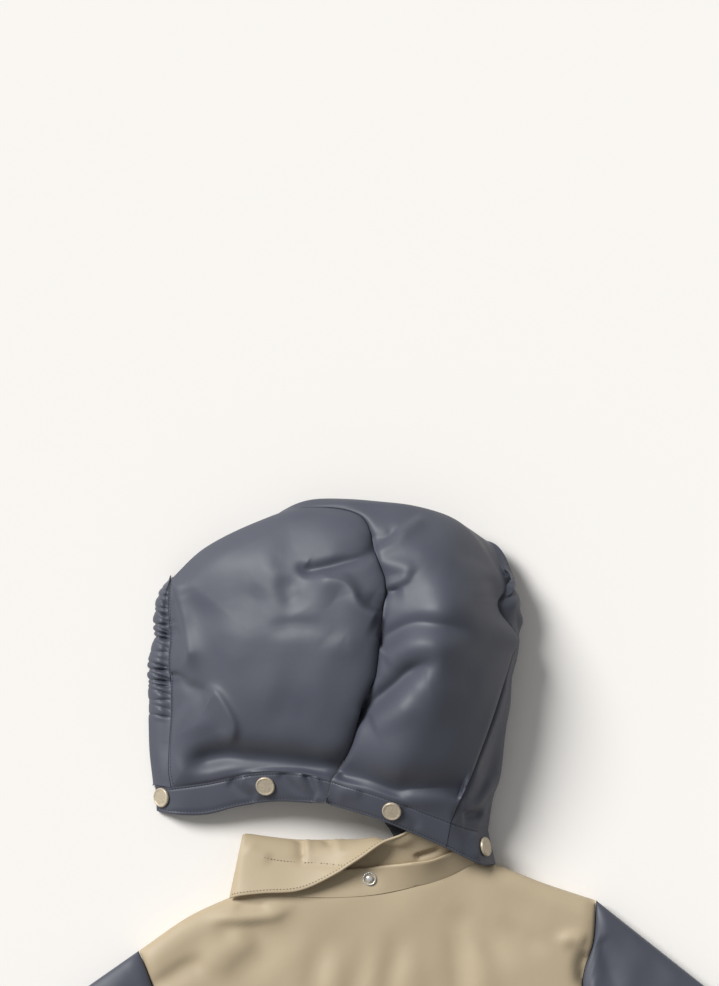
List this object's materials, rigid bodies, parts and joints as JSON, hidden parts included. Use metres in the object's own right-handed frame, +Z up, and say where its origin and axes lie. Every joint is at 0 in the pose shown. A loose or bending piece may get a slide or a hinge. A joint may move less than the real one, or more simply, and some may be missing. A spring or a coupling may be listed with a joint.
{
  "type": "child's padded jacket with detachable hood",
  "caption": "Padded two-colour child's jacket laid flat, back up, with a tall turned-down collar and a three-panel hood partly unsnapped from the neck.",
  "frame": {"origin": "on the underside of the front placket, where the jacket rests, under the chest", "axes": "+X across the jacket to the viewer's right, +Y from the hem towards the hood, +Z up from the surface that the jacket lies on"},
  "size_m": [0.911, 0.769, 0.0876],
  "materials": {
    "beige_shell": "satin coated",
    "greyblue_shell": "satin coated",
    "tan_snap": "satin",
    "silver_stud": "polished"
  },
  "bodies": {
    "root": {"back_panel": "beige_shell", "front_left": "beige_shell", "front_right": "beige_shell", "front_placket": "beige_shell", "collar": "beige_shell", "collar_front": "beige_shell", "neck_band": "beige_shell", "sleeve_left": "greyblue_shell", "sleeve_right": "greyblue_shell", "hood_left": "greyblue_shell", "hood_centre": "greyblue_shell", "hood_right": "greyblue_shell", "hood_casing": "greyblue_shell", "hood_casing_far": "greyblue_shell", "hood_band_left": "greyblue_shell", "hood_band_centre": "greyblue_shell", "hood_band_right": "greyblue_shell", "placket_snap_1": "tan_snap", "placket_snap_2": "tan_snap", "placket_snap_3": "tan_snap", "placket_snap_4": "tan_snap", "placket_snap_5": "tan_snap", "hood_snap_1": "tan_snap", "hood_snap_2": "tan_snap", "hood_snap_3": "tan_snap", "hood_snap_4": "tan_snap", "hood_snap_5": "tan_snap", "neck_stud": "silver_stud"}
  },
  "joints": []
}
